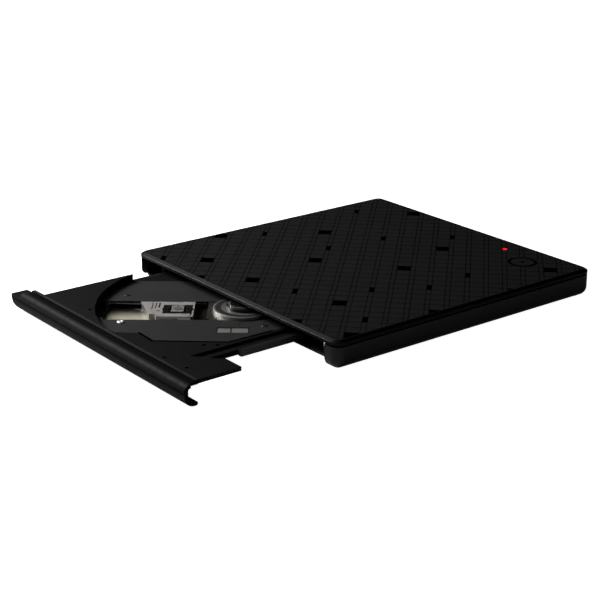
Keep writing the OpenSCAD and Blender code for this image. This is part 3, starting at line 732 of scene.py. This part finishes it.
piece("actuator_yokes", "sled", MARK_BLACK, draw_actuator)
piece("lens_holder_dots", "lens", MARK_BLACK, draw_holder_dots)
piece("pickup_marks", "sled", MARK_BLACK, draw_pickup_marks)
piece("window_floor", "tray_unit", FLOOR_SHEET_PAINTED_LIGHT, draw_window_floor)
piece("motor_bands", "tray_unit", MARK_BLACK, draw_motor_band)
piece("deck_edge_painted_shadow", "tray_unit", TILE_BLACK, draw_deck_seam)
piece("deck_screw_painted_highlight", "tray_unit", SCREW_PAINTED_HIGHLIGHT, draw_bright_screw)
piece("bezel_painted_shadow_lines", "tray_unit", LINE_BLACK, draw_bezel_shadow_lines)
piece("bezel_ridge_highlight", "tray_unit", RIDGE_PAINTED_HIGHLIGHT, draw_bezel_ridge)
piece("hub_rings", "spindle", HUB_BRIGHT, draw_hub_rings)
flex = piece("pickup_flex", None, MATERIALS["flex_silver"], draw_flex)
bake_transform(flex)
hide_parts("pickup_ribbon")


# ---- Light, floor and camera ----

def area_light(name, direction, distance, size, power):
    """A rectangular light that shines at the origin from a distance along a direction."""
    data = bpy.data.lights.new(name, "AREA")
    data.shape = "RECTANGLE"
    data.size, data.size_y = size
    data.energy = power
    made = bpy.data.objects.new(name, data)
    bpy.context.scene.collection.objects.link(made)
    away = Vector(direction).normalized()
    made.location = away * distance
    made.rotation_euler = away.to_track_quat("Z", "Y").to_euler()


def stage_object(name, mesh, material, camera_only):
    """Adds a stage surface that only the camera sees, or one that only lights the object."""
    made = bpy.data.objects.new(name, mesh)
    bpy.context.scene.collection.objects.link(made)
    mesh.materials.append(material)
    for kind in ("visible_diffuse", "visible_glossy", "visible_transmission", "visible_shadow"):
        setattr(made, kind, not camera_only)
    made.visible_camera = camera_only


def stage_plane(name, z, strength, camera_only):
    """A wide pale plane at height z."""
    mesh = bpy.data.meshes.new(name)
    side = 12.0
    corners = [(-side, -side, z), (side, -side, z), (side, side, z), (-side, side, z)]
    mesh.from_pydata(corners, [], [(0, 1, 2, 3)])
    s = Shader(name)
    s.link(s.mix(s.noise(400), (0.8, 0.8, 0.8), (0.84, 0.84, 0.84)), s.bsdf.inputs["Base Color"])
    s.bsdf.inputs["Roughness"].default_value = 0.9
    s.bsdf.inputs["Emission Color"].default_value = (1, 1, 1, 1)
    s.bsdf.inputs["Emission Strength"].default_value = strength
    stage_object(name, mesh, s.material, camera_only)


def backdrop_dome():
    """A pale dome all round, behind the object and above it."""
    bm = bmesh.new()
    bmesh.ops.create_uvsphere(bm, u_segments=48, v_segments=24, radius=9.0)
    mesh = bpy.data.meshes.new("backdrop")
    bm.to_mesh(mesh)
    bm.free()
    s = Shader("backdrop")
    s.bsdf.inputs["Base Color"].default_value = (0.8, 0.8, 0.8, 1)
    s.bsdf.inputs["Emission Color"].default_value = (1, 1, 1, 1)
    s.bsdf.inputs["Emission Strength"].default_value = 1.0
    stage_object("backdrop", mesh, s.material, True)


stage_plane("floor", -0.02 * MM, 1.0, True)
stage_plane("floor_bounce", -0.03 * MM, 0.03, False)
backdrop_dome()

WORLD_STRENGTH = 0.006
world = bpy.data.worlds.new("studio")
bpy.context.scene.world = world
world.use_nodes = True
background = world.node_tree.nodes["Background"]
background.inputs["Color"].default_value = (1, 1, 1, 1)
background.inputs["Strength"].default_value = WORLD_STRENGTH

area_light("key_left", (-0.27, -0.19, 0.22), 0.40, (0.16, 0.16), 1.75)
area_light("overhead", (0.0, -0.25, 1.0), 1.0, (0.6, 0.6), 0.35)
area_light("front_fill", (0.5, -1.0, 0.45), 1.4, (0.8, 0.3), 0.03)

AZIMUTH, ELEVATION, ROLL = (math.radians(v) for v in (51.79, 20.09, 0.20))
TARGET = Vector((-0.0034, 0.0005, 0))
DISTANCE = 0.6475
FOCAL_MM = 89.85
SENSOR_MM = 36.0
level = math.cos(ELEVATION)
back = Vector((math.sin(AZIMUTH) * level, -math.cos(AZIMUTH) * level, math.sin(ELEVATION)))
right = Vector((0, 0, 1)).cross(back).normalized()
up = back.cross(right)
rolled_right = right * math.cos(ROLL) + up * math.sin(ROLL)
rolled_up = up * math.cos(ROLL) - right * math.sin(ROLL)
camera_data = bpy.data.cameras.new("camera")
camera_data.lens = FOCAL_MM
camera_data.sensor_width = SENSOR_MM
camera_data.clip_start = 0.01
camera_data.clip_end = 50.0
camera = bpy.data.objects.new("camera", camera_data)
bpy.context.scene.collection.objects.link(camera)
turn = Matrix((rolled_right, rolled_up, back)).transposed()
camera.matrix_world = Matrix.Translation(TARGET + back * DISTANCE) @ turn.to_4x4()
bpy.context.scene.camera = camera
bpy.context.scene.view_settings.view_transform = "Standard"
